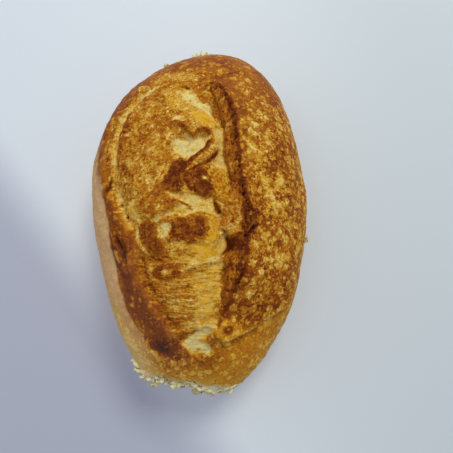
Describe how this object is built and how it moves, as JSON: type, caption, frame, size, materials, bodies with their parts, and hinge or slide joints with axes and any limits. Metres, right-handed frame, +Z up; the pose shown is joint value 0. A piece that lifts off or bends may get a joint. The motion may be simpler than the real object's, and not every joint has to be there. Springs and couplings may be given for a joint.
{
  "type": "bread roll",
  "caption": "Oval crusty bread roll with one long opened slash, baked in one piece, standing on its flat underside.",
  "frame": {"origin": "centre of the roll's bounding box in plan, on the surface that it stands on", "axes": "+Y along the roll's length to its broader, smooth end, +X across it towards the lifted edge of the slash, +Z up"},
  "size_m": [0.1068, 0.168, 0.0578],
  "materials": {
    "crust": "baked crust, satin, with matt open crumb along the slash"
  },
  "bodies": {
    "root": {"bread_roll": "crust"}
  },
  "joints": []
}
